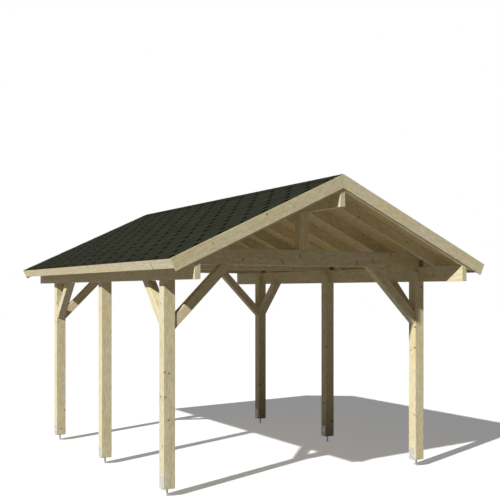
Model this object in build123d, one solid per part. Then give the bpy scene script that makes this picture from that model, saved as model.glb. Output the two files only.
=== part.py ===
from build123d import *
import os
from math import cos, radians, sin, sqrt, tan

# Carport for one car: an open timber frame on six posts under a shingled gable roof.
# Millimetres, +Z up, +X to the right and +Y to the rear as one drives in.
# The origin is on the ground, under the middle of the roof.

# Posts
frame_width = 3230.0
frame_length = 3790.0
post_side = 120.0
post_foot_height = 80.0
post_tongue_height = 115.0

# Wall plates, lapped into the outer side of the posts
plate_thickness = 60.0
plate_depth = 170.0
plate_bottom = 2120.0

# Tie beams, cogged over the wall plates
tie_thickness = 100.0
tie_depth = 168.0
tie_cog_depth = 10.0

# King posts and ridge beam
king_post_width = 120.0
ridge_beam_thickness = 60.0
ridge_beam_depth = 170.0

# Knee braces at 45 degrees
brace_side = 95.0
cross_brace_reach = 645.0
side_brace_reach = 475.0

# Rafters
roof_pitch = 25.0
rafter_width = 45.0
rafter_depth = 120.0
rafters_per_bay = 3
rafter_tail_clearance = 15.0

# Roof covering
gable_overhang = 725.0
eave_overhang = 242.0
deck_thickness = 16.0
shingle_exposure = 132.25
shingle_butt_thickness = 5.0
shingle_head_thickness = 2.5
cap_width = 100.0
cap_thickness = 3.0

# Rake boards and eave fascias
rake_thickness = 18.0
rake_depth = 127.0
rake_rise = 6.0
fascia_thickness = 20.0
fascia_depth = 95.0

# Post anchors: a steel stirrup on a round rod
anchor_steel = 5.0
anchor_width = 80.0
anchor_wing_height = 140.0
anchor_rod_diameter = 20.0

# Angle brackets that tie the tie beams down to the wall plates
bracket_steel = 3.0
bracket_leg_height = 78.0
bracket_foot_length = 60.0

# Places that follow from the sizes
slope = radians(roof_pitch)
half_width = frame_width / 2
plate_inner = half_width - plate_thickness
plate_top = plate_bottom + plate_depth
row_x = half_width - post_side / 2
post_inner = half_width - post_side
bay_length = (frame_length - post_side) / 2
tie_bottom = plate_top - tie_cog_depth
tie_top = tie_bottom + tie_depth
timber_end = frame_length / 2 + gable_overhang - rake_thickness
rafter_foot_ridge = plate_top + plate_inner * tan(slope)
ridge_height = rafter_foot_ridge + rafter_depth / cos(slope)
ridge_beam_top = rafter_foot_ridge
ridge_beam_bottom = ridge_beam_top - ridge_beam_depth
rake_top = deck_thickness + rake_rise
slope_length = (half_width + eave_overhang - rake_top * sin(slope)) / cos(slope)
shingle_top = deck_thickness + shingle_butt_thickness

side_names = {"left": -1, "right": 1}
row_names = {"front": -1, "middle": 0, "rear": 1}


def block(x_range, y_range, z_range):
    """Box between two places on each axis."""
    size = [high - low for low, high in (x_range, y_range, z_range)]
    corner = Pos(x_range[0], y_range[0], z_range[0])
    return corner * Box(*size, align=(Align.MIN, Align.MIN, Align.MIN))


def along_y(outline, y_range):
    """Prism along Y from an outline of X and Z."""
    face = Plane.XZ * Polygon(*outline, align=None)
    return Pos(0, y_range[1], 0) * extrude(face, amount=y_range[1] - y_range[0])


def along_x(outline, x_range):
    """Prism along X from an outline of Y and Z."""
    face = Plane.YZ * Polygon(*outline, align=None)
    return Pos(x_range[0], 0, 0) * extrude(face, amount=x_range[1] - x_range[0])


def on_side(shape, side):
    """The right-hand shape, or its mirror image on the left."""
    return shape if side > 0 else mirror(shape, about=Plane.YZ)


def in_row(shape, row):
    """The rear shape, or its mirror image at the front."""
    return shape if row > 0 else mirror(shape, about=Plane.XZ)


def roof_point(run, rise):
    """X and Z of a point on the right slope: down it by run, out of the rafters' top by rise."""
    x = run * cos(slope) + rise * sin(slope)
    z = ridge_height - run * sin(slope) + rise * cos(slope)
    return (x, z)


def ridge_point(rise):
    """X and Z where a layer of the slope meets the plumb middle plane."""
    return (0.0, ridge_height + rise / cos(slope))


def roof_layer(low, high, run_end):
    """Outline of a layer of the right slope, plumb at the ridge and square at the eave."""
    return [ridge_point(low), roof_point(run_end, low), roof_point(run_end, high), ridge_point(high)]


def post(side, row):
    """Post with its outer half cut down for the wall plate and a tongue left beside it."""
    y = row * bay_length
    y_range = (y - post_side / 2, y + post_side / 2)
    tongue_top = plate_bottom + post_tongue_height
    shaft = block((post_inner, half_width), y_range, (post_foot_height, tongue_top))
    lap = block((plate_inner, half_width), y_range, (plate_bottom, tongue_top))
    return on_side(shaft - lap, side)


def post_anchor(side, row):
    """Stirrup under and beside the foot of a post, on a round rod."""
    seat_low = post_foot_height - anchor_steel
    half_post = post_side / 2
    outer = half_post + anchor_steel
    y_range = (-anchor_width / 2, anchor_width / 2)
    wing_top = post_foot_height + anchor_wing_height - anchor_steel
    stirrup = block((-outer, outer), y_range, (seat_low, wing_top))
    stirrup -= block((-half_post, half_post), y_range, (post_foot_height, wing_top))
    rod = Cylinder(anchor_rod_diameter / 2, seat_low, align=(Align.CENTER, Align.CENTER, Align.MIN))
    return Pos(side * row_x, row * bay_length, 0) * (stirrup + rod)


def wall_plate(side):
    """Beam that lies on the shoulders of one row of posts."""
    beam = block((plate_inner, half_width), (-timber_end, timber_end), (plate_bottom, plate_top))
    return on_side(beam, side)


def tie_beam(row):
    """Beam across the frame, cogged over both plates, with ends cut to the roof slope."""
    y = row * bay_length
    y_range = (y - tie_thickness / 2, y + tie_thickness / 2)
    beam = block((-half_width, half_width), y_range, (tie_bottom, tie_top))
    above_rafters = along_y(roof_layer(0, tie_depth, slope_length), y_range)
    cog = block((plate_inner, half_width), y_range, (tie_bottom, plate_top))
    for cut in (above_rafters, cog):
        beam -= cut
        beam -= mirror(cut, about=Plane.YZ)
    return beam


def king_post(row):
    """Short post from a tie beam up to the ridge beam."""
    y = row * bay_length
    x_range = (-king_post_width / 2, king_post_width / 2)
    y_range = (y - tie_thickness / 2, y + tie_thickness / 2)
    return block(x_range, y_range, (tie_top, ridge_beam_bottom))


def ridge_beam():
    """Beam under the rafter heads."""
    x_range = (-ridge_beam_thickness / 2, ridge_beam_thickness / 2)
    return block(x_range, (-timber_end, timber_end), (ridge_beam_bottom, ridge_beam_top))


def brace_outline(post_face, inward, reach, head):
    """Outline of a 45 degree brace whose lower edge runs in from a post face by reach, up to head."""
    foot = head - reach
    cut = brace_side * sqrt(2)
    return [
        (post_face, foot),
        (post_face, foot + cut),
        (post_face + inward * (reach - cut), head),
        (post_face + inward * reach, head),
    ]


def cross_brace(side, row):
    """Knee brace from a corner post up to the underside of the tie beam."""
    y = row * bay_length
    y_range = (y - brace_side / 2, y + brace_side / 2)
    outline = brace_outline(post_inner, -1, cross_brace_reach, tie_bottom)
    return on_side(along_y(outline, y_range), side)


def side_brace(side, row):
    """Knee brace from a corner post up to the underside of the wall plate."""
    post_face = bay_length - post_side / 2
    x_range = (row_x - brace_side / 2, row_x + brace_side / 2)
    outline = brace_outline(post_face, -1, side_brace_reach, plate_bottom)
    return on_side(in_row(along_x(outline, x_range), row), side)


def rafter_profile():
    """Rafter of the right slope, its front face at Y = 0, with its notches and tail cut."""
    y_range = (0, rafter_width)
    run_end = slope_length - fascia_thickness
    rafter = along_y(roof_layer(-rafter_depth, 0, run_end), y_range)
    ridge_notch = block((0, ridge_beam_thickness / 2), y_range, (ridge_beam_bottom, ridge_beam_top))
    birdsmouth = block((plate_inner, half_width), y_range, (plate_bottom, plate_top))
    tail_low = roof_point(run_end, deck_thickness - fascia_depth)[1] + rafter_tail_clearance
    tail_cut = block((half_width, half_width + eave_overhang), y_range, (plate_bottom, tail_low))
    return rafter - ridge_notch - birdsmouth - tail_cut


def rafter_places():
    """Front edge of each rafter: evenly between the tie beams, and one at each gable."""
    spacing = bay_length / rafters_per_bay
    inner = [(step + 0.5) * spacing for step in range(-rafters_per_bay - 1, rafters_per_bay + 1)]
    gables = [-timber_end, timber_end - rafter_width]
    return sorted([y - rafter_width / 2 for y in inner] + gables)


def rafters(side):
    """All rafters of one slope."""
    profile = on_side(rafter_profile(), side)
    return Compound([Pos(0, y, 0) * profile for y in rafter_places()])


def roof_boards(side):
    """Boarding on the rafters of one slope."""
    outline = roof_layer(0, deck_thickness, slope_length - fascia_thickness)
    return on_side(along_y(outline, (-timber_end, timber_end)), side)


def shingles(side):
    """Overlapping shingle courses of one slope, each thickest at its lower edge."""
    outline = [ridge_point(deck_thickness), roof_point(slope_length, deck_thickness)]
    butt = slope_length
    while butt > 0:
        head = max(butt - shingle_exposure, 0.0)
        outline.append(roof_point(butt, shingle_top))
        if head > 0:
            outline.append(roof_point(head, deck_thickness + shingle_head_thickness))
        butt = head
    outline.append(ridge_point(deck_thickness + shingle_head_thickness))
    return on_side(along_y(outline, (-timber_end, timber_end)), side)


def ridge_cap():
    """Folded shingle strip over the ridge."""
    outline = roof_layer(shingle_top, shingle_top + cap_thickness, cap_width)
    right = along_y(outline, (-timber_end, timber_end))
    return right + mirror(right, about=Plane.YZ)


def eave_fascia(side):
    """Board along the rafter ends, square to the slope."""
    inner = slope_length - fascia_thickness
    low = deck_thickness - fascia_depth
    outline = [
        roof_point(inner, low),
        roof_point(slope_length, low),
        roof_point(slope_length, deck_thickness),
        roof_point(inner, deck_thickness),
    ]
    return on_side(along_y(outline, (-timber_end, timber_end)), side)


def rake_board(side, row):
    """Board up one half of a gable, over the edge of the covering."""
    outline = roof_layer(rake_top - rake_depth, rake_top, slope_length)
    board = along_y(outline, (timber_end, timber_end + rake_thickness))
    return on_side(in_row(board, row), side)


def tie_bracket(side, row):
    """Steel angle between the front of a tie beam and the top of the wall plate."""
    face = row * bay_length - tie_thickness / 2
    foot = face - bracket_foot_length
    outline = [
        (face, plate_top),
        (face, plate_top + bracket_leg_height),
        (face - bracket_steel, plate_top + bracket_leg_height),
        (face - bracket_steel, plate_top + bracket_steel),
        (foot, plate_top + bracket_steel),
        (foot, plate_top),
    ]
    return on_side(along_x(outline, (plate_inner, half_width)), side)


def build_parts():
    """Every node of the carport by name."""
    parts = {}
    places = [(s, side, r, row) for s, side in side_names.items() for r, row in row_names.items()]
    for side_name, side, row_name, row in places:
        parts[f"post_{side_name}_{row_name}"] = post(side, row)
        if row == 0:
            continue
        parts[f"cross_brace_{side_name}_{row_name}"] = cross_brace(side, row)
        parts[f"side_brace_{side_name}_{row_name}"] = side_brace(side, row)
        parts[f"rake_board_{side_name}_{row_name}"] = rake_board(side, row)
    for row_name, row in row_names.items():
        parts[f"tie_beam_{row_name}"] = tie_beam(row)
        parts[f"king_post_{row_name}"] = king_post(row)
    for side_name, side in side_names.items():
        parts[f"wall_plate_{side_name}"] = wall_plate(side)
        parts[f"rafters_{side_name}"] = rafters(side)
        parts[f"roof_boards_{side_name}"] = roof_boards(side)
        parts[f"shingles_{side_name}"] = shingles(side)
        parts[f"eave_fascia_{side_name}"] = eave_fascia(side)
    parts["ridge_beam"] = ridge_beam()
    parts["ridge_cap"] = ridge_cap()
    parts["post_anchors"] = Compound([post_anchor(side, row) for _, side, _, row in places])
    parts["tie_brackets"] = Compound([tie_bracket(side, row) for _, side, _, row in places])
    return parts


os.makedirs("parts", exist_ok=True)
for name, shape in build_parts().items():
    export_step(shape, f"parts/{name}.step")
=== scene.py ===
import random
from math import ceil, cos, floor, pi, radians, sin
import bmesh
import bpy
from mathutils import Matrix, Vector


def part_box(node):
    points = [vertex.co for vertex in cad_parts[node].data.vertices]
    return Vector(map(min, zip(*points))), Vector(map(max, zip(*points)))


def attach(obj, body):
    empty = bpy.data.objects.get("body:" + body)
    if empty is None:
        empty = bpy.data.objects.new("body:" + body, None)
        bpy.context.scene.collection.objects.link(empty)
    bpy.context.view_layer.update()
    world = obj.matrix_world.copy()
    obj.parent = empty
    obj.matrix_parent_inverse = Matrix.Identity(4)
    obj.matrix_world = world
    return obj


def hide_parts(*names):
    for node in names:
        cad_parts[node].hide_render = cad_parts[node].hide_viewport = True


# Looks of the carport: planed spruce timber, bitumen shingles and galvanised steel.
# Metres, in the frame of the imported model.

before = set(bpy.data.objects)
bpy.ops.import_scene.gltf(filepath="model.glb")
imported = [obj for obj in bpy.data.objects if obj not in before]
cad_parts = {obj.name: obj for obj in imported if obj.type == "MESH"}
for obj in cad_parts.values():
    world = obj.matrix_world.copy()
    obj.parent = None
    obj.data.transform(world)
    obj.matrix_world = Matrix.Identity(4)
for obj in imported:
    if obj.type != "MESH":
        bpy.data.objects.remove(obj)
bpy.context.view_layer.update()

SIDES = {"left": -1, "right": 1}
ROWS = ("front", "middle", "rear")
ENDS = {"front": -1, "rear": 1}

# Camera: its place, its heading in degrees to the right, and the horizon's row in the picture
CAMERA_PLACE = (-4.921, -9.705, 2.0117)
CAMERA_HEADING = 28.61
FOCAL_PIXELS = 868.0
PICTURE_PIXELS = 500.0
HORIZON_PIXEL = 291.16
SENSOR_WIDTH = 36.0
VIEW_DEPTH = 400.0

# Sun, sky and floor
TO_SUN = Vector((-1.0, -0.46, 0.78))
SUN_STRENGTH = 4.4
SUN_ANGLE = 0.9
SKY_COLOUR = (0.98, 0.98, 1.0, 1.0)
SKY_STRENGTH = 0.03
BACKDROP_COLOUR = (1.0, 1.0, 1.0, 1.0)
BACKDROP_STRENGTH = 1.0
FLOOR_REACH = 60.0
FLOOR_TONES = ((0.93, 0.93, 0.93, 1.0), (0.96, 0.96, 0.96, 1.0))
FLOOR_MOTTLE = 3.0
FLOOR_BOUNCE = (0.272, 0.25, 0.228, 1.0)
FLOOR_GLOW = 0.25

# Screen colours: pale wood, amber wood and knots of each timber
PLANED = ((231, 224, 191), (212, 193, 145), (122, 98, 60))
TRIM = ((226, 219, 186), (208, 189, 143), (116, 92, 56))
LINING = ((238, 219, 172), (216, 184, 124), (118, 88, 50))
KNOT_RIM_COLOUR = (92, 72, 44)

# Screen colours: dark and light granules and the painted shade under the tabs' ends, then bright and dull
# metal
GRANULES_AND_PAINTED_SHADE = ((38, 39, 32), (64, 66, 55), (10, 10, 9))
ZINC = ((212, 212, 208), (186, 187, 184))
DULL_ZINC = ((156, 144, 126), (124, 113, 98))
CHROMATE = ((190, 164, 110), (160, 134, 86))

# Patterns of spruce: cycles a metre along the grain and both ways across it, detail and roughness
RING_WAVE = ((4.0, 40.0, 40.0), 2.0, 0.5)
FIBRE = ((9.0, 420.0, 420.0), 3.0, 0.6)
STREAK = ((1.6, 38.0, 38.0), 3.0, 0.6)
FLECK = ((13.0, 44.0, 44.0), 3.0, 0.7)
PATCH = ((1.3, 5.0, 5.0), 2.0, 0.5)
TINT = ((0.8, 19.0, 19.0), 1.0, 0.5)

# Rings of spruce: their slow bend in cycles a metre and in metres, and how many rings a knot shifts
BEND_CYCLES = (1.1, 7.0, 7.0)
BEND_REACH = (0.0, 0.06, 0.06)
NOISE_MIDDLE = (0.5, 0.5, 0.5)
ACROSS_GRAIN = (0.0, 1.0, 1.0)
RINGS_PER_METRE = 230.0
RING_SWIRL = 1.6

# Parts of a ring's width over which its late wood starts and ends
LATE_START = (0.35, 0.9)
LATE_END = (1.0, 0.92)

# Range of each pattern over which it takes effect, and the share or the shade that it gives
LATE_AMBER = 0.42
STREAK_RANGE = (0.35, 0.75)
STREAK_AMBER = 0.5
PATCH_RANGE = (0.35, 0.7)
PATCH_AMBER = 0.3
TINT_RANGE = (0.35, 0.65)
COOL_TINT = (0.985, 1.0, 1.06)
WARM_TINT = (1.01, 0.99, 0.90)
SHADE_RANGE = (0.3, 0.7)
FIBRE_SHADES = (0.92, 1.05)
FLECK_SHADES = (0.86, 1.09)
PIECE_SHADE = 0.03
SWIRL_AMBER = 0.3
KNOT_BROWN = 0.7
KNOT_RIM_BROWN = 0.42

# Surface of planed spruce
WOOD_ROUGHNESS_RANGE = (0.2, 0.8)
WOOD_ROUGHNESS = (0.55, 0.72)
WOOD_SPECULAR = 0.3
WOOD_BUMP = (0.0006, 0.6)
LATE_HEIGHT = 0.5
FIBRE_HEIGHT = 0.6
KNOT_RIM_DEPTH = 0.8

# Knots: a cell of their pattern takes a quarter turn about the pith, and cells near the seam have none
KNOT_TURN = pi / 2
KNOT_SEAM = 1.85
KNOT_SCATTER = 0.9
KNOT_DRAW = (0.35, 0.95)
KNOT_RADIUS = 0.0095
KNOT_LEAST = 0.0001

# A knot's edge, its dark rim and the grain that swirls about it, in radii from its middle
KNOT_EDGE = (1.15, 0.85)
KNOT_RIM = (0.6, 0.95)
KNOT_SWIRL = (4.5, 0.8)

# Granules on bitumen
GRANULES_PER_METRE = 620.0
ROOF_CLOUD = (9.0, 4.0, 0.6)
SPECK_SHARE = 0.55
ROOF_CLOUD_SHARE = 0.3
TAB_TONE_SHARE = 0.09
GRANULE_ROUGHNESS = (0.72, 0.95)
GRANULE_BUMP = (0.0009, 0.7)

# Weathered zinc: how metallic and how much rougher it is from bright to dull
ZINC_CLOUD = (24.0, 4.0, 0.6)
SPANGLE_SHARE = 0.35
ZINC_CLOUD_SHARE = 0.5
ZINC_RANGE = (0.1, 0.9)
ZINC_METALLIC = (0.28, 0.12)
ZINC_DULLER = 0.16
ZINC_BUMP = (0.0004, 0.3)

# Arrises of timber: faces within the flat angle merge, and edges over the corner angle are rounded
TIMBER_ARRIS = 0.003
SLIM_ARRIS = 0.002
RAKE_ARRIS = 0.0015
ARRIS_STEPS = 2
ROUND_PROFILE = 0.5
WELD_REACH = 0.00002
FLAT_ANGLE = radians(0.6)
CORNER_ANGLE = radians(20)

# Each timber's place in a long log, and the sine of the angle within which it counts as upright
LOG_LENGTH = 90
PITH_ASIDE = 0.05
PITH_AWAY = (0.02, 0.08)
UPRIGHT_SINE = 0.1

# Roof boards: butt joints move on by BUTT_STEP rafters from board to board
BOARD_WIDTH = 0.121
BOARD_CHAMFER = 0.002
BUTT_GAP = 0.001
BUTT_STEP = 3

# Shingle tabs and the dark marks of painted shade under their flat ends, with soft edges given from
# outside to inside
SHINGLE_EXPOSURE = 0.13225
TAB_PITCH = 0.362
TAB_FLAT = 0.060
TAB_SHIFT = 0.200
TAB_THICKNESS = 0.0024
TAB_LEAST_RISE = 0.0008
TAB_LEAST_BED = 0.0001
TAB_WELD = 0.0001
CUT_REACH = 0.00001
PLY = 0.0025
BUTT_TO_SHADE_MARK = 0.020
SHADE_MARK_LENGTH = 0.048
SHADE_MARK_END_EDGE = (0.002, -0.003)
SHADE_MARK_SIDE_EDGE = (0.007, 0.001)

# Strips over the ridge: x and drop of the points of their soft bend
CAP_EXPOSURE = 0.145
CAP_STEP = 0.001
CAP_PLY = 0.00095
CROWN_BEND = ((-0.004, 0.0019), (0.0, 0.0005), (0.004, 0.0019))

# Felt on the rake boards, and how far the boards' faces stand back for screw heads
VERGE_FELT = 0.0015
VERGE_LAPS = {"front": 0.010, "rear": 0.0165}
HEAD_RELIEF = 0.0005

# Heads, washers and nuts: how many sides, then heights and radii from the base up
FLUSH_HEAD = (14, [(0.0, 0.0042), (0.0004, 0.0042), (0.0005, 0.0039), (0.0005, 0.0018),
                   (-0.002, 0.0015)])
PAN_HEAD = (14, [(0.0, 0.0055), (0.0012, 0.0055), (0.0026, 0.0040), (0.0026, 0.0020),
                 (0.0010, 0.0018)])
WASHER_HEAD = (18, [(0.0, 0.0090), (0.0010, 0.0090), (0.0022, 0.0060), (0.0030, 0.0048),
                    (0.0030, 0.0025), (0.0012, 0.0022)])
WASHER = (20, [(0.0, 0.0100), (0.0014, 0.0100), (0.0018, 0.0096)])
HEX_HEAD = (6, [(0.0018, 0.0075), (0.0066, 0.0075), (0.0074, 0.0066)])
THREAD_END = (12, [(0.0074, 0.0040), (0.0102, 0.0040), (0.0110, 0.0033)])

# Places of fixings: bolts by their drop and offset on an anchor's wing, screws by rises or insets
BOLT_PLACES = ((0.030, 0.016), (0.092, -0.016))
BRACKET_STEEL = 0.003
BRACKET_SCREW_ASIDE = 0.016
BRACKET_SCREWS_UP = (0.028, 0.058)
BRACKET_SCREWS_OUT = (0.014, 0.040)
BRACE_SCREW_ASIDE = 0.022
BRACE_SCREW_INSET = 0.062
FASCIA_SCREW_RISES = (-0.020, -0.058)
RAKE_SCREW_RISES = (-0.010, -0.078)
RAKE_SCREW_PAIRS = 5
RAKE_SCREW_RIDGE = 0.14
RAKE_SCREW_EAVE = 0.10

# Roof of the frame: its pitch and the height where the rafters' tops meet
PITCH = radians(25)
RIDGE_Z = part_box("rafters_left")[1].z


def above_rafters(node):
    """How far a roof piece's top stands out of the rafters' top plane."""
    return (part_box(node)[1].z - RIDGE_Z) * cos(PITCH)


def run_to_edge(node, rise):
    """Distance down the slope from the ridge to a right-hand piece's edge, at a rise out of it."""
    return (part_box(node)[1].x - rise * sin(PITCH)) / cos(PITCH)


# Roof layers, measured square to the slope and along it
DECK = above_rafters("roof_boards_left")
RAKE_TOP = above_rafters("rake_board_left_front")
CAP_TOP = above_rafters("ridge_cap")
BOARD_EDGE = run_to_edge("roof_boards_right", DECK)
SLOPE_EDGE = run_to_edge("shingles_right", DECK + 2 * PLY)
RAKE_LENGTH = run_to_edge("rake_board_right_front", RAKE_TOP)
CAP_WIDTH = run_to_edge("ridge_cap", CAP_TOP)
COVER_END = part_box("shingles_right")[1].y
RAKE_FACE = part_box("rake_board_left_rear")[1].y


def screen_colour(red, green, blue):
    """Screen colour of 0 to 255 as the linear colour that a shader takes."""
    parts = [value / 255 for value in (red, green, blue)]
    return tuple([p / 12.92 if p <= 0.04045 else ((p + 0.055) / 1.055) ** 2.4 for p in parts] + [1.0])


class Graph:
    """A material or world with short calls for its shader nodes."""

    def __init__(self, owner):
        owner.use_nodes = True
        self.owner = owner
        self.tree = owner.node_tree
        self.tree.nodes.clear()

    def plug(self, socket, value):
        if isinstance(value, bpy.types.NodeSocket):
            self.tree.links.new(value, socket)
        else:
            socket.default_value = value

    def add(self, kind, inputs=None, **options):
        made = self.tree.nodes.new("ShaderNode" + kind)
        for key, value in options.items():
            setattr(made, key, value)
        for key, value in (inputs or {}).items():
            self.plug(made.inputs[key], value)
        return made

    def math(self, operation, *values, clamp=False):
        inputs = dict(enumerate(values))
        return self.add("Math", inputs, operation=operation, use_clamp=clamp).outputs[0]

    def plus(self, first, second, clamp=False):
        return self.math("ADD", first, second, clamp=clamp)

    def minus(self, first, second):
        return self.math("SUBTRACT", first, second)

    def times(self, first, second):
        return self.math("MULTIPLY", first, second)

    def vector(self, operation, *values):
        made = self.add("VectorMath", dict(enumerate(values)), operation=operation)
        return made.outputs["Value" if operation == "LENGTH" else "Vector"]

    def split(self, vector):
        return self.add("SeparateXYZ", {"Vector": vector}).outputs

    def noise(self, place, scale, detail=2.0, roughness=0.5):
        inputs = {"Vector": place, "Scale": scale, "Detail": detail, "Roughness": roughness}
        return self.add("TexNoise", inputs).outputs["Fac"]

    def pattern(self, place, cycles, detail, roughness):
        return self.noise(self.vector("MULTIPLY", place, cycles), 1.0, detail, roughness)

    def fade(self, value, start, end, low=0.0, high=1.0):
        inputs = {"Value": value, "From Min": start, "From Max": end, "To Min": low, "To Max": high}
        return self.add("MapRange", inputs, interpolation_type="SMOOTHSTEP").outputs["Result"]

    def mix(self, factor, first, second, blend="MIX"):
        """Mixes colours: inputs 6 and 7 and output 2 are the node's sockets for them."""
        made = self.add("Mix", data_type="RGBA", blend_type=blend)
        self.plug(made.inputs[0], factor)
        self.plug(made.inputs[6], first)
        self.plug(made.inputs[7], second)
        return made.outputs[2]

    def tinted(self, colour, tint):
        return self.mix(1.0, colour, (*tint, 1.0), "MULTIPLY")

    def bump(self, height, distance, strength):
        inputs = {"Height": height, "Distance": distance, "Strength": strength}
        return self.add("Bump", inputs).outputs["Normal"]

    def surface(self, shader):
        self.add("OutputMaterial", {"Surface": shader})
        return self.owner


def knots(g, grain, knot_gap):
    """1 in a knot, 1 in its dark rim, and 1 in the grain that swirls about it."""
    along, across, up = g.split(grain)
    around = g.math("ARCTAN2", up, across)
    unrolled = g.add("CombineXYZ", {
        "X": g.math("DIVIDE", along, knot_gap),
        "Y": g.math("DIVIDE", around, KNOT_TURN),
    }).outputs[0]
    cells = g.add("TexVoronoi", {"Vector": unrolled, "Scale": 1.0, "Randomness": KNOT_SCATTER},
                  voronoi_dimensions="2D").outputs
    centre = g.split(cells["Position"])
    from_pith = g.vector("LENGTH", g.vector("MULTIPLY", grain, ACROSS_GRAIN))
    away_along = g.minus(along, g.times(centre[0], knot_gap))
    away_around = g.times(g.minus(around, g.times(centre[1], KNOT_TURN)), from_pith)
    apart = g.plus(g.times(away_along, away_along), g.times(away_around, away_around))
    apart = g.math("SQRT", apart)
    size = g.fade(g.split(cells["Color"])[0], *KNOT_DRAW, 0.0, KNOT_RADIUS)
    size = g.times(size, g.math("LESS_THAN", g.math("ABSOLUTE", centre[1]), KNOT_SEAM))
    share = g.math("DIVIDE", apart, g.plus(size, KNOT_LEAST))
    knot = g.fade(share, *KNOT_EDGE)
    rim = g.times(g.fade(share, *KNOT_RIM), knot)
    return knot, rim, g.fade(share, *KNOT_SWIRL)


def late_wood(g, grain, swirl):
    """1 in the dark late wood of each ring about the pith."""
    bend = g.vector("MULTIPLY", grain, BEND_CYCLES)
    bend = g.add("TexNoise", {"Vector": bend, "Scale": 1.0, "Detail": 2.0}).outputs["Color"]
    bend = g.vector("MULTIPLY", g.vector("SUBTRACT", bend, NOISE_MIDDLE), BEND_REACH)
    radius = g.vector("LENGTH", g.vector("MULTIPLY", g.vector("ADD", grain, bend), ACROSS_GRAIN))
    rings = g.plus(g.times(radius, RINGS_PER_METRE), g.times(swirl, RING_SWIRL))
    part = g.math("FRACT", g.plus(rings, g.pattern(grain, *RING_WAVE)))
    return g.times(g.fade(part, *LATE_START), g.fade(part, *LATE_END))


def spruce(name, colours, knot_gap):
    """Planed spruce: rings about a pith, fine fibres, soft streaks and round knots."""
    pale, amber, brown = [screen_colour(*colour) for colour in colours]
    g = Graph(bpy.data.materials.new(name))
    grain = g.add("Attribute", attribute_name="grain").outputs["Vector"]
    piece = g.add("Attribute", attribute_name="tone").outputs["Fac"]
    knot, rim, swirl = knots(g, grain, knot_gap)
    late = late_wood(g, grain, swirl)
    fibre = g.pattern(grain, *FIBRE)
    streak = g.fade(g.pattern(grain, *STREAK), *STREAK_RANGE, 0.0, STREAK_AMBER)
    patch = g.fade(g.pattern(grain, *PATCH), *PATCH_RANGE, 0.0, PATCH_AMBER)
    tint = g.fade(g.pattern(grain, *TINT), *TINT_RANGE)
    fleck = g.fade(g.pattern(grain, *FLECK), *SHADE_RANGE, *FLECK_SHADES)

    colour = g.mix(g.times(late, LATE_AMBER), pale, amber)
    colour = g.mix(streak, colour, amber)
    colour = g.mix(patch, colour, amber)
    colour = g.mix(tint, g.tinted(colour, COOL_TINT), g.tinted(colour, WARM_TINT))
    shade = g.times(g.fade(fibre, *SHADE_RANGE, *FIBRE_SHADES), fleck)
    shade = g.plus(shade, g.times(piece, PIECE_SHADE))
    grey = g.add("CombineColor", {"Red": shade, "Green": shade, "Blue": shade}).outputs[0]
    colour = g.mix(1.0, colour, grey, "MULTIPLY")
    colour = g.mix(g.times(swirl, SWIRL_AMBER), colour, amber)
    colour = g.mix(g.times(knot, KNOT_BROWN), colour, brown)
    colour = g.mix(g.times(rim, KNOT_RIM_BROWN), colour, screen_colour(*KNOT_RIM_COLOUR))

    height = g.plus(g.times(late, LATE_HEIGHT), g.times(fibre, FIBRE_HEIGHT))
    height = g.minus(height, g.times(rim, KNOT_RIM_DEPTH))
    shader = g.add("BsdfPrincipled", {
        "Base Color": colour,
        "Roughness": g.fade(fibre, *WOOD_ROUGHNESS_RANGE, *WOOD_ROUGHNESS),
        "Specular IOR Level": WOOD_SPECULAR,
        "Normal": g.bump(height, *WOOD_BUMP),
    })
    return g.surface(shader.outputs[0])


def painted_tab_shade(g):
    """1 in the painted shade under the flat end of each tab, half a tab further on in each course."""
    lay = g.split(g.add("Attribute", attribute_name="lay").outputs["Vector"])
    course = g.math("ROUND", lay[0])
    down = g.math("ABSOLUTE", g.minus(lay[0], course))
    aside = g.minus(lay[1], g.times(course, 0.5))
    aside = g.math("ABSOLUTE", g.minus(aside, g.math("ROUND", aside)))
    ends = [SHADE_MARK_LENGTH / 2 + edge for edge in SHADE_MARK_END_EDGE]
    sides = [TAB_FLAT / 2 + edge for edge in SHADE_MARK_SIDE_EDGE]
    near = g.fade(g.times(down, SHINGLE_EXPOSURE), *ends)
    level = g.fade(g.times(aside, TAB_PITCH), *sides)
    return g.times(g.times(near, level), lay[2])


def bitumen(name, colours):
    """Mineral granules on bitumen, with a tone that differs from tab to tab and painted shade under each
    tab's end.
    """
    dark, light, black = [screen_colour(*colour) for colour in colours]
    g = Graph(bpy.data.materials.new(name))
    place = g.add("TexCoord").outputs["Object"]
    tone = g.add("Attribute", attribute_name="tone").outputs["Fac"]
    grit = g.add("TexVoronoi", {"Vector": place, "Scale": GRANULES_PER_METRE}).outputs
    speck = g.split(grit["Color"])[0]
    cloud = g.noise(place, *ROOF_CLOUD)
    share = g.plus(g.times(speck, SPECK_SHARE), g.times(cloud, ROOF_CLOUD_SHARE))
    share = g.plus(share, g.times(tone, TAB_TONE_SHARE), clamp=True)
    shader = g.add("BsdfPrincipled", {
        # Painted shade: a near-black mark under the flat end of each tab
        "Base Color": g.mix(painted_tab_shade(g), g.mix(share, dark, light), black),
        "Roughness": g.fade(speck, 0.0, 1.0, *GRANULE_ROUGHNESS),
        "Specular IOR Level": 0.0,
        "Normal": g.bump(grit["Distance"], *GRANULE_BUMP),
    })
    return g.surface(shader.outputs[0])


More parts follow.
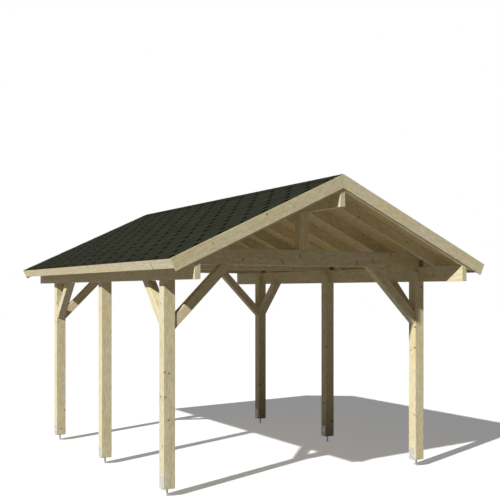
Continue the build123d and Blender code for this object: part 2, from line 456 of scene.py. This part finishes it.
def steel(name, colours, roughness, spangles_per_metre):
    """Weathered zinc on steel, with a faint spangle and duller patches."""
    bright, dull = [screen_colour(*colour) for colour in colours]
    g = Graph(bpy.data.materials.new(name))
    place = g.add("TexCoord").outputs["Object"]
    cells = g.add("TexVoronoi", {"Vector": place, "Scale": spangles_per_metre}).outputs
    cloud = g.noise(place, *ZINC_CLOUD)
    share = g.plus(g.times(g.split(cells["Color"])[0], SPANGLE_SHARE),
                   g.times(cloud, ZINC_CLOUD_SHARE), clamp=True)
    shader = g.add("BsdfPrincipled", {
        "Base Color": g.mix(share, bright, dull),
        "Metallic": g.fade(share, *ZINC_RANGE, *ZINC_METALLIC),
        "Roughness": g.fade(share, *ZINC_RANGE, roughness, roughness + ZINC_DULLER),
        "Normal": g.bump(cloud, *ZINC_BUMP),
    })
    return g.surface(shader.outputs[0])


def to_camera(g):
    """1 on what the camera sees, directly, in metal or through glass, and 0 on light that bounces."""
    rays = g.add("LightPath").outputs
    seen = g.math("MAXIMUM", rays["Is Camera Ray"], rays["Is Glossy Ray"])
    return g.math("MAXIMUM", seen, rays["Is Transmission Ray"])


def floor_finish():
    """Pale floor that keeps the shadow and throws little light back."""
    g = Graph(bpy.data.materials.new("studio_floor"))
    seen = to_camera(g)
    pale = g.mix(g.noise(g.add("TexCoord").outputs["Object"], FLOOR_MOTTLE), *FLOOR_TONES)
    diffuse = g.add("BsdfDiffuse", {"Color": g.mix(seen, FLOOR_BOUNCE, pale)})
    glow = g.add("Emission", {"Strength": g.times(seen, FLOOR_GLOW)})
    return g.surface(g.add("AddShader", {0: diffuse.outputs[0], 1: glow.outputs[0]}).outputs[0])


def set_world():
    """Even sky that lights softly and shows white behind the object."""
    world = bpy.data.worlds.new("studio")
    g = Graph(world)
    sky = g.add("Background", {"Color": SKY_COLOUR, "Strength": SKY_STRENGTH})
    backdrop = g.add("Background", {"Color": BACKDROP_COLOUR, "Strength": BACKDROP_STRENGTH})
    mixed = g.add("MixShader", {0: to_camera(g), 1: sky.outputs[0], 2: backdrop.outputs[0]})
    g.add("OutputWorld", {"Surface": mixed.outputs[0]})
    bpy.context.scene.world = world


def set_camera():
    """Level camera at the photograph's viewpoint, with its picture shifted up."""
    data = bpy.data.cameras.new("camera")
    data.sensor_width = SENSOR_WIDTH
    data.lens = FOCAL_PIXELS / PICTURE_PIXELS * SENSOR_WIDTH
    data.shift_y = (HORIZON_PIXEL - PICTURE_PIXELS / 2) / PICTURE_PIXELS
    data.clip_end = VIEW_DEPTH
    camera = bpy.data.objects.new("camera", data)
    camera.location = CAMERA_PLACE
    camera.rotation_euler = (radians(90), 0, -radians(CAMERA_HEADING))
    bpy.context.scene.collection.objects.link(camera)
    bpy.context.scene.camera = camera


def set_sun():
    """One soft-edged sun from the front left."""
    data = bpy.data.lights.new("sun", "SUN")
    data.energy = SUN_STRENGTH
    data.angle = radians(SUN_ANGLE)
    sun = bpy.data.objects.new("sun", data)
    sun.rotation_mode = "QUATERNION"
    sun.rotation_quaternion = TO_SUN.to_track_quat("Z", "Y")
    bpy.context.scene.collection.objects.link(sun)


def set_floor():
    """Wide pale floor under the posts."""
    bm = bmesh.new()
    bmesh.ops.create_grid(bm, x_segments=2, y_segments=2, size=FLOOR_REACH)
    ground = finished("studio_ground", bm, floor_finish())


def finished(name, bm, material):
    """Object made of the mesh, with its material."""
    mesh = bpy.data.meshes.new(name)
    bm.normal_update()
    bm.to_mesh(mesh)
    bm.free()
    mesh.materials.append(material)
    made = bpy.data.objects.new(name, mesh)
    bpy.context.scene.collection.objects.link(made)
    return made


def placed(piece, slot, *nodes):
    """The piece stands on the frame, in the place of its nodes if it has any."""
    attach(piece, "root")
    if nodes:
        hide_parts(*nodes)


def mesh_of(node):
    """Editable copy of a node's mesh, its corners welded."""
    bm = bmesh.new()
    bm.from_mesh(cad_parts[node].data)
    bmesh.ops.remove_doubles(bm, verts=bm.verts, dist=WELD_REACH)
    return bm


def solids(bm):
    """Lists of vertices, one for each separate solid of a mesh."""
    bm.verts.ensure_lookup_table()
    bm.verts.index_update()
    found, seen = [], set()
    for start in bm.verts:
        if start.index in seen:
            continue
        seen.add(start.index)
        group, waiting = [], [start]
        while waiting:
            vert = waiting.pop()
            group.append(vert)
            for edge in vert.link_edges:
                other = edge.other_vert(vert)
                if other.index not in seen:
                    seen.add(other.index)
                    waiting.append(other)
        found.append(group)
    return found


def places_of(node):
    """Corner points of each separate solid of a node."""
    bm = mesh_of(node)
    found = [[vert.co.copy() for vert in group] for group in solids(bm)]
    bm.free()
    return found


def extent(points):
    """Lowest and highest corner of a box around the points."""
    low = Vector([min(point[i] for point in points) for i in range(3)])
    high = Vector([max(point[i] for point in points) for i in range(3)])
    return low, high


def rafter_rows(side_name):
    """Y of the middle of each rafter on one slope, from front to rear."""
    return sorted(sum(v.y for v in group) / len(group) for group in places_of(f"rafters_{side_name}"))


def run_grain(bm, along, seed):
    """Gives each solid its own piece of a log: the place of each point along and about the pith."""
    layer = bm.verts.layers.float_vector.new("grain")
    tone = bm.verts.layers.float.new("tone")
    draw = random.Random(seed)
    along = Vector(along).normalized()
    across = along.cross(Vector((0, 0, 1)))
    across = Vector((0, 1, 0)) if across.length < UPRIGHT_SINE else across.normalized()
    up = along.cross(across)
    for group in solids(bm):
        middle = sum((v.co for v in group), Vector()) / len(group)
        start = draw.uniform(0, LOG_LENGTH)
        pith = (draw.uniform(-PITH_ASIDE, PITH_ASIDE), draw.choice((-1, 1)) * draw.uniform(*PITH_AWAY))
        shade = draw.uniform(-1, 1)
        for vert in group:
            at = vert.co - middle
            vert[tone] = shade
            vert[layer] = (at.dot(along) + start, at.dot(across) + pith[0], at.dot(up) + pith[1])


def eased(node, arris, reshape):
    """Mesh of a node, its points moved by reshape if that is given, and its outer edges rounded."""
    bm = mesh_of(node)
    if reshape:
        for vert in bm.verts:
            reshape(vert.co)
    bmesh.ops.dissolve_limit(bm, angle_limit=FLAT_ANGLE, verts=bm.verts, edges=bm.edges)
    corners = [e for e in bm.edges if e.is_manifold and e.is_convex and e.calc_face_angle() > CORNER_ANGLE]
    bmesh.ops.bevel(bm, geom=corners, offset=arris, offset_type="OFFSET", segments=ARRIS_STEPS,
                    profile=ROUND_PROFILE, affect="EDGES", clamp_overlap=True)
    return bm


def timber(node, along, material, slot="timber", arris=TIMBER_ARRIS, reshape=None):
    """Planed timber in the place of a node, with its grain along its length."""
    bm = eased(node, arris, reshape)
    run_grain(bm, along, node)
    placed(finished(node + "_planed", bm, material), slot, node)


def on_slope(side, run, rise, y):
    """Point of a slope: down it from the ridge by run, and out of the rafters' top by rise."""
    x = run * cos(PITCH) + rise * sin(PITCH)
    return Vector((side * x, y, RIDGE_Z - run * sin(PITCH) + rise * cos(PITCH)))


def down_slope(side):
    """Direction from the ridge to the eave."""
    return (side * cos(PITCH), 0, -sin(PITCH))


def frame_timbers(wood):
    """Posts, plates, ties, king posts, ridge beam, braces and rafters."""
    for side_name, side in SIDES.items():
        for row in ROWS:
            timber(f"post_{side_name}_{row}", (0, 0, 1), wood)
        timber(f"wall_plate_{side_name}", (0, 1, 0), wood)
        timber(f"rafters_{side_name}", down_slope(side), wood, arris=SLIM_ARRIS)
        for row, end in ENDS.items():
            timber(f"cross_brace_{side_name}_{row}", (-side, 0, 1), wood)
            timber(f"side_brace_{side_name}_{row}", (0, -end, 1), wood)
    for row in ROWS:
        timber(f"tie_beam_{row}", (1, 0, 0), wood)
        timber(f"king_post_{row}", (0, 0, 1), wood)
    timber("ridge_beam", (0, 1, 0), wood)


def lowered_rake(point):
    """Leaves room for the felt on a rake board and for the screw heads in its face."""
    rise = (point.z - RIDGE_Z) * cos(PITCH) + abs(point.x) * sin(PITCH)
    if rise > RAKE_TOP - VERGE_FELT:
        point.z -= VERGE_FELT / cos(PITCH)
    if abs(point.y) > RAKE_FACE - HEAD_RELIEF:
        point.y *= 1 - HEAD_RELIEF / RAKE_FACE


def trim_boards(wood):
    """Rake boards and eave fascias."""
    slot = "fascia_timber"
    for side_name, side in SIDES.items():
        for row in ENDS:
            timber(f"rake_board_{side_name}_{row}", down_slope(side), wood, slot, RAKE_ARRIS, lowered_rake)
        timber(f"eave_fascia_{side_name}", (0, 1, 0), wood, slot, SLIM_ARRIS)


def prism(bm, first, last):
    """Closed solid between two outlines of the same number of points, given in order."""
    rings = [[bm.verts.new(point) for point in outline] for outline in (first, last)]
    bm.faces.new(rings[0])
    bm.faces.new(rings[1][::-1])
    for i in range(len(first)):
        j = (i + 1) % len(first)
        bm.faces.new((rings[0][i], rings[1][i], rings[1][j], rings[0][j]))
    return rings


def folded(rise, y):
    """Outline across the ridge, softly bent at the top: from left to right, then back one ply lower."""
    outline = []
    for level, way in ((rise, 1), (rise - CAP_PLY, -1)):
        crown = RIDGE_Z + level / cos(PITCH)
        bend = [Vector((way * x, y, crown - drop)) for x, drop in CROWN_BEND]
        outline += [on_slope(-way, CAP_WIDTH, level, y), *bend, on_slope(way, CAP_WIDTH, level, y)]
    return outline


def ridge_shingles(finish):
    """Short strips folded over the ridge, each laid over the rear half of the one in front."""
    bm = bmesh.new()
    tone = bm.verts.layers.float.new("tone")
    draw = random.Random("ridge_cap")
    for number in range(ceil(2 * COVER_END / CAP_EXPOSURE)):
        butt = -COVER_END + number * CAP_EXPOSURE
        head = min(butt + 2 * CAP_EXPOSURE, COVER_END)
        fall = CAP_STEP * (head - butt) / CAP_EXPOSURE
        rings = prism(bm, folded(CAP_TOP, butt), folded(CAP_TOP - fall, head))
        shade = draw.uniform(-1, 1)
        for vert in rings[0] + rings[1]:
            vert[tone] = shade
    bmesh.ops.recalc_face_normals(bm, faces=bm.faces)
    placed(finished("ridge_shingles", bm, finish), "shingle", "ridge_cap")


def verge_felt(finish):
    """Thin felt that laps from the shingles over part of each rake board's top."""
    bm = bmesh.new()
    top, bed = RAKE_TOP, RAKE_TOP - VERGE_FELT
    for side in SIDES.values():
        for row, end in ENDS.items():
            outlines = []
            for y in (end * COVER_END, end * (COVER_END + VERGE_LAPS[row])):
                ridge = [Vector((0, y, RIDGE_Z + rise / cos(PITCH))) for rise in (top, bed)]
                eave = [on_slope(side, RAKE_LENGTH, rise, y) for rise in (bed, top)]
                outlines.append(ridge + eave)
            prism(bm, *outlines)
    bmesh.ops.recalc_face_normals(bm, faces=bm.faces)
    placed(finished("verge_felt", bm, finish), "shingle")


def turned(bm, base, axis, shape):
    """Adds a closed shape about an axis: a washer, a head or the end of a bolt."""
    sides, outline = shape
    turn = Vector(axis).to_track_quat("Z", "X")
    rings = []
    for height, radius in outline:
        ring = []
        for i in range(sides):
            angle = 2 * pi * i / sides
            point = Vector((radius * cos(angle), radius * sin(angle), height))
            ring.append(bm.verts.new(base + turn @ point))
        rings.append(ring)
    bm.faces.new(rings[0][::-1])
    bm.faces.new(rings[-1])
    for low, high in zip(rings, rings[1:]):
        for i in range(sides):
            j = (i + 1) % sides
            bm.faces.new((low[i], low[j], high[j], high[i]))


def anchor_bolts(bm):
    """Two bolts through the wings of each post anchor, heads outside and nuts inside."""
    for group in places_of("post_anchors"):
        low, high = extent(group)
        middle_y = (high.y + low.y) / 2
        outside = 1 if low.x > 0 else -1
        for drop, aside in BOLT_PLACES:
            for way, x in ((-1, low.x), (1, high.x)):
                base = Vector((x, middle_y + aside, high.z - drop))
                turned(bm, base, (way, 0, 0), WASHER)
                turned(bm, base, (way, 0, 0), HEX_HEAD)
                if way != outside:
                    turned(bm, base, (way, 0, 0), THREAD_END)


def bracket_screws(bm):
    """Pan-head screws in both legs of each tie bracket."""
    for group in places_of("tie_brackets"):
        low, high = extent(group)
        for aside in (-BRACKET_SCREW_ASIDE, BRACKET_SCREW_ASIDE):
            x = (low.x + high.x) / 2 + aside
            for up in BRACKET_SCREWS_UP:
                turned(bm, Vector((x, high.y - BRACKET_STEEL, low.z + up)), (0, -1, 0), PAN_HEAD)
            for out in BRACKET_SCREWS_OUT:
                turned(bm, Vector((x, low.y + out, low.z + BRACKET_STEEL)), (0, 0, 1), PAN_HEAD)


def screws_in_brace(bm, node, run, way):
    """Two washer-head screws near each end of a brace that climbs along axis 0 or 1, X or Y."""
    low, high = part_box(node)
    foot, head = (high, low) if way > 0 else (low, high)
    out_of_face = Vector((0, 0, -1))
    out_of_face[run] = -way
    places = ((foot[run] - way * BRACE_SCREW_INSET, low.z + BRACE_SCREW_INSET),
              (head[run] + way * BRACE_SCREW_INSET, high.z - BRACE_SCREW_INSET))
    for reach, z in places:
        for aside in (-BRACE_SCREW_ASIDE, BRACE_SCREW_ASIDE):
            base = Vector((0, 0, z))
            base[run] = reach
            base[1 - run] = (low[1 - run] + high[1 - run]) / 2 + aside
            turned(bm, base, out_of_face, WASHER_HEAD)


def brace_screws(bm):
    """Screws in the lower faces of all knee braces."""
    for side_name, side in SIDES.items():
        for row, end in ENDS.items():
            screws_in_brace(bm, f"cross_brace_{side_name}_{row}", 0, side)
            screws_in_brace(bm, f"side_brace_{side_name}_{row}", 1, end)


def board_screws(bm):
    """Flush screw heads in the rake boards and, at each rafter, in the eave fascias."""
    gap = (SLOPE_EDGE - RAKE_SCREW_RIDGE - RAKE_SCREW_EAVE) / (RAKE_SCREW_PAIRS - 1)
    for side_name, side in SIDES.items():
        for y in rafter_rows(side_name):
            for rise in FASCIA_SCREW_RISES:
                turned(bm, on_slope(side, SLOPE_EDGE, rise, y), down_slope(side), FLUSH_HEAD)
        for end in ENDS.values():
            for number in range(RAKE_SCREW_PAIRS):
                run = RAKE_SCREW_RIDGE + number * gap
                for rise in RAKE_SCREW_RISES:
                    base = on_slope(side, run, rise, end * (RAKE_FACE - HEAD_RELIEF))
                    turned(bm, base, (0, end, 0), FLUSH_HEAD)


def fixings(name, finish, *makers):
    """One piece of all the bolts or screws that the makers add."""
    bm = bmesh.new()
    for make in makers:
        make(bm)
    bmesh.ops.recalc_face_normals(bm, faces=bm.faces)
    placed(finished(name, bm, finish), "galvanised_steel")


def roof_boarding(side_name, side, wood):
    """Matched boards with small V joints on one slope, butted end to end over the rafters."""
    bm = bmesh.new()
    count = ceil(BOARD_EDGE / BOARD_WIDTH)
    width = BOARD_EDGE / count
    low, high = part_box(f"roof_boards_{side_name}")
    rafters = rafter_rows(side_name)
    for number in range(count):
        top, bottom = number * width, (number + 1) * width
        section = [(top + BOARD_CHAMFER, 0), (bottom - BOARD_CHAMFER, 0), (bottom, BOARD_CHAMFER),
                   (bottom, DECK), (top, DECK), (top, BOARD_CHAMFER)]
        butt = rafters[1 + number * BUTT_STEP % (len(rafters) - 2)]
        for start, end in ((low.y, butt - BUTT_GAP / 2), (butt + BUTT_GAP / 2, high.y)):
            prism(bm, *[[on_slope(side, run, rise, y) for run, rise in section] for y in (start, end)])
    bmesh.ops.recalc_face_normals(bm, faces=bm.faces)
    run_grain(bm, (0, 1, 0), f"boards_{side_name}")
    boards = finished(f"roof_boarding_{side_name}", bm, wood)
    placed(boards, "roof_boarding", f"roof_boards_{side_name}")


def tab_course(number):
    """Flat outline of one shingle course as a mesh of run and Y, clipped to the roof."""
    bm = bmesh.new()
    # The butt lies just up the slope from the painted shade mark beneath it
    butt = number * SHINGLE_EXPOSURE - BUTT_TO_SHADE_MARK
    head = butt - 2 * SHINGLE_EXPOSURE
    slot_top = butt - SHINGLE_EXPOSURE
    half, flat = TAB_PITCH / 2, TAB_FLAT / 2
    places = [(-half, slot_top), (flat - half, slot_top), (-flat, butt), (flat, butt),
              (half - flat, slot_top), (half, slot_top)]
    first = TAB_SHIFT + number * half
    first -= ceil((first + COVER_END) / TAB_PITCH) * TAB_PITCH
    for tab in range(ceil(2 * COVER_END / TAB_PITCH) + 2):
        middle = first + tab * TAB_PITCH
        low = [bm.verts.new((run, middle + y, 0)) for y, run in places]
        high = [bm.verts.new((head, middle + y, 0)) for y, run in places]
        for i in range(len(places) - 1):
            bm.faces.new((high[i], high[i + 1], low[i + 1], low[i]))
    bmesh.ops.remove_doubles(bm, verts=bm.verts, dist=TAB_WELD)
    for place, away in (((0, 0, 0), (-1, 0, 0)), ((SLOPE_EDGE, 0, 0), (1, 0, 0)),
                        ((0, -COVER_END, 0), (0, -1, 0)), ((0, COVER_END, 0), (0, 1, 0))):
        bmesh.ops.bisect_plane(bm, geom=bm.verts[:] + bm.edges[:] + bm.faces[:], dist=CUT_REACH,
                               plane_co=place, plane_no=away, clear_outer=True)
    return bm, butt


def shingle_courses(side_name, side, finish):
    """Six-sided tabs in courses that overlap by half, each lying on the two below."""
    whole = bmesh.new()
    tone = whole.verts.layers.float.new("tone")
    lay = whole.verts.layers.float_vector.new("lay")
    draw = random.Random("tabs_" + side_name)
    count = floor(SLOPE_EDGE / SHINGLE_EXPOSURE) + 2
    for number in range(1, count + 1):
        flat, butt = tab_course(number)
        tones = {}
        top, under = {}, {}
        for vert in flat.verts:
            run, y = vert.co.x, vert.co.y
            rise = max(2 * PLY - PLY * (butt - run) / SHINGLE_EXPOSURE, TAB_LEAST_RISE)
            cell = round((y - TAB_SHIFT - number * TAB_PITCH / 2) / TAB_PITCH)
            if cell not in tones:
                tones[cell] = draw.uniform(-1, 1)
            for layer, height in ((top, rise), (under, max(rise - TAB_THICKNESS, TAB_LEAST_BED))):
                made = whole.verts.new(on_slope(side, run, DECK + height, y))
                made[tone] = tones[cell]
                # lay places the painted shade marks, and its 1 lets them show on the tabs
                made[lay] = (run / SHINGLE_EXPOSURE, (y - TAB_SHIFT) / TAB_PITCH, 1.0)
                layer[vert] = made
        for face in flat.faces:
            whole.faces.new([top[v] for v in face.verts])
            whole.faces.new([under[v] for v in reversed(face.verts)])
        for edge in flat.edges:
            if edge.is_boundary:
                one, two = edge.verts
                whole.faces.new((top[one], top[two], under[two], under[one]))
        flat.free()
    bmesh.ops.recalc_face_normals(whole, faces=whole.faces)
    tabs = finished(f"shingle_tabs_{side_name}", whole, finish)
    placed(tabs, "shingle", f"shingles_{side_name}")


def carried_steel(bright, dull):
    """Finishes of the nodes that keep their own mesh."""
    for node, material in (("post_anchors", bright), ("tie_brackets", dull)):
        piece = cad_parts[node]
        piece.data.materials.clear()
        piece.data.materials.append(material)


set_camera()
set_sun()
set_world()
set_floor()

planed = spruce("planed_spruce", PLANED, knot_gap=0.24)
trim = spruce("trim_spruce", TRIM, knot_gap=0.17)
lining = spruce("lining_spruce", LINING, knot_gap=0.2)
# The third granule colour is the painted shade under the tabs' ends
granules = bitumen("green_black_granules", GRANULES_AND_PAINTED_SHADE)
zinc = steel("hot_dip_zinc", ZINC, roughness=0.38, spangles_per_metre=90.0)
dull_zinc = steel("dull_zinc", DULL_ZINC, roughness=0.5, spangles_per_metre=60.0)
chromate = steel("yellow_chromate", CHROMATE, roughness=0.45, spangles_per_metre=400.0)

frame_timbers(planed)
trim_boards(trim)
for side_name, side in SIDES.items():
    roof_boarding(side_name, side, lining)
    shingle_courses(side_name, side, granules)
ridge_shingles(granules)
verge_felt(granules)
carried_steel(zinc, dull_zinc)
fixings("bolts_and_nuts", zinc, anchor_bolts)
fixings("bracket_screws", dull_zinc, bracket_screws)
fixings("wood_screws", chromate, brace_screws, board_screws)

bpy.context.scene.view_settings.view_transform = "Standard"
